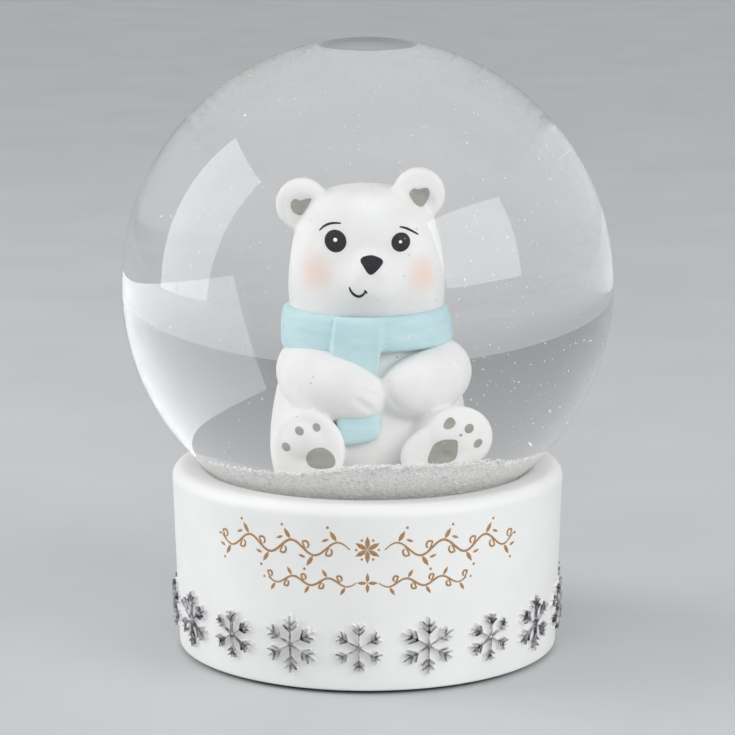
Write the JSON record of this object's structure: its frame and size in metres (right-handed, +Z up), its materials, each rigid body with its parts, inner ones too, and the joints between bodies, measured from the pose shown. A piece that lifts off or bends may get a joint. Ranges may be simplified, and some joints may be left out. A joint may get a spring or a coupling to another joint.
{
  "type": "snow globe",
  "caption": "Water-filled glass snow globe with a seated polar bear in a scarf, on a round white base ringed with raised silver snowflakes.",
  "frame": {"origin": "middle of the underside of the base, on the surface that the globe stands on", "axes": "+Z up through the middle of the ball; the bear and the front of the base face -Y"},
  "size_m": [0.1, 0.1, 0.1252],
  "materials": {
    "cast_resin_white": "cast polyresin, matt white lacquer",
    "silver_plate": "bright silver plated relief",
    "felt_black": "pressed felt",
    "blown_glass": "clear, fire polished",
    "moulded_rubber": "white moulded rubber",
    "silicone_sealant": "translucent sealant",
    "clear_epoxy": "clear glue",
    "painted_resin_white": "cast resin, matt white paint",
    "paint_pale_blue": "brushed matt paint",
    "paint_black": "gloss black paint",
    "paint_warm_grey": "matt grey paint",
    "bronze_print": "fine printed line",
    "snow_flakes": "fine plastic flakes",
    "clear_water": "clear water"
  },
  "bodies": {
    "root": {"base_casting": "cast_resin_white", "base_pad": "felt_black", "bear_figurine": "painted_resin_white", "bear_scarf": "paint_pale_blue", "glass_globe": "blown_glass", "liquid_fill": "clear_water", "neck_adhesive": "clear_epoxy", "rubber_stopper": "moulded_rubber", "snow_bed": "snow_flakes", "snowflake_01": "silver_plate", "snowflake_02": "silver_plate", "snowflake_03": "silver_plate", "snowflake_04": "silver_plate", "snowflake_05": "silver_plate", "snowflake_06": "silver_plate", "snowflake_07": "silver_plate", "snowflake_08": "silver_plate", "snowflake_09": "silver_plate", "snowflake_10": "silver_plate", "snowflake_11": "silver_plate", "snowflake_12": "silver_plate", "snowflake_13": "silver_plate", "snowflake_14": "silver_plate", "snowflake_15": "silver_plate", "snowflake_16": "silver_plate", "snowflake_17": "silver_plate", "snowflake_18": "silver_plate", "stopper_seal": "silicone_sealant"}
  },
  "joints": []
}
